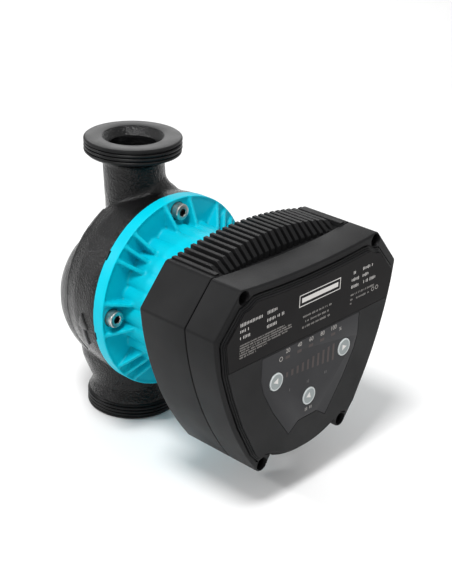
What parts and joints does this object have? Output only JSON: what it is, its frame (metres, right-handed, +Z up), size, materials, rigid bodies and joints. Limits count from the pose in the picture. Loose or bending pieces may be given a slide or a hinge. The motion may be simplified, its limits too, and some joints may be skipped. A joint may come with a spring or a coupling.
{
  "type": "circulator pump",
  "caption": "Wet-rotor heating circulator pump with threaded ports and a finned control box with push buttons.",
  "frame": {"origin": "centre of the lower port's sealing face", "axes": "+Z up the port axis towards the upper port, +Y away from the motor towards the back of the volute, +X to the right seen from the control panel"},
  "size_m": [0.1544, 0.1903, 0.18],
  "materials": {
    "cast": "black painted casting",
    "turquoise": "semi-gloss turquoise paint",
    "charcoal": "fine-grained charcoal plastic",
    "label": "satin film",
    "panel": "satin film",
    "button": "satin grey",
    "zinc": "zinc plated",
    "stainless": "bright",
    "lamination": "laminated",
    "copper": "enamelled wire",
    "ceramic": "ground",
    "carbon": "carbon",
    "magnet": "coated ferrite",
    "rubber": "matte",
    "impeller": "satin",
    "board": "solder mask",
    "dark_plastic": "satin",
    "clear_plastic": "translucent",
    "thermal_pad": "soft"
  },
  "bodies": {
    "pump": {"pump_housing": "cast", "wear_ring": "stainless", "housing_gasket": "rubber", "bearing_plate": "stainless", "front_bearing": "carbon", "rear_bearing": "carbon", "rotor_can": "stainless", "stator_core": "lamination", "stator_coil_1": "copper", "stator_coil_2": "copper", "stator_coil_3": "copper", "stator_coil_4": "copper", "stator_coil_5": "copper", "stator_coil_6": "copper", "motor_housing": "turquoise", "flange_screw_1": "zinc", "flange_screw_2": "zinc", "flange_screw_3": "zinc", "flange_screw_4": "zinc", "case_screw_1": "zinc", "case_screw_2": "zinc", "case_screw_3": "zinc", "case_screw_4": "zinc", "cover_screw_1": "zinc", "cover_screw_2": "zinc", "cover_screw_3": "zinc", "cover_screw_4": "zinc", "rear_shell": "charcoal", "cover_gasket": "rubber", "front_cover": "charcoal", "control_panel": "panel", "rating_label": "label", "light_guide": "clear_plastic", "power_board": "board", "bulk_capacitor": "dark_plastic", "mains_choke": "copper", "mains_relay": "dark_plastic", "terminal_block": "clear_plastic", "power_module": "dark_plastic", "heat_pad": "thermal_pad", "display_board": "board", "led_strip": "clear_plastic", "key_switch_left": "dark_plastic", "key_switch_right": "dark_plastic", "key_switch_auto": "dark_plastic", "cable_gland": "dark_plastic", "gland_nut": "dark_plastic"},
    "rotor": {"shaft": "ceramic", "rotor_magnet": "magnet", "thrust_washer": "ceramic", "impeller": "impeller", "impeller_nut": "zinc"},
    "button_left_key": {"button_left": "button"},
    "button_right_key": {"button_right": "button"},
    "button_auto_key": {"button_auto": "button"}
  },
  "joints": [
    {"name": "rotor_spin", "type": "hinge", "parent": "pump", "child": "rotor", "pos_m": [0, -0.05, 0.09], "axis": [0, -1, 0], "continuous": true},
    {"name": "press_left", "type": "slide", "parent": "pump", "child": "button_left_key", "axis": [0, 1, 0], "range_m": [0, 0.0005], "stiffness_N_per_m": 600},
    {"name": "press_right", "type": "slide", "parent": "pump", "child": "button_right_key", "axis": [0, 1, 0], "range_m": [0, 0.0005], "stiffness_N_per_m": 600},
    {"name": "press_auto", "type": "slide", "parent": "pump", "child": "button_auto_key", "axis": [0, 1, 0], "range_m": [0, 0.0005], "stiffness_N_per_m": 600}
  ]
}
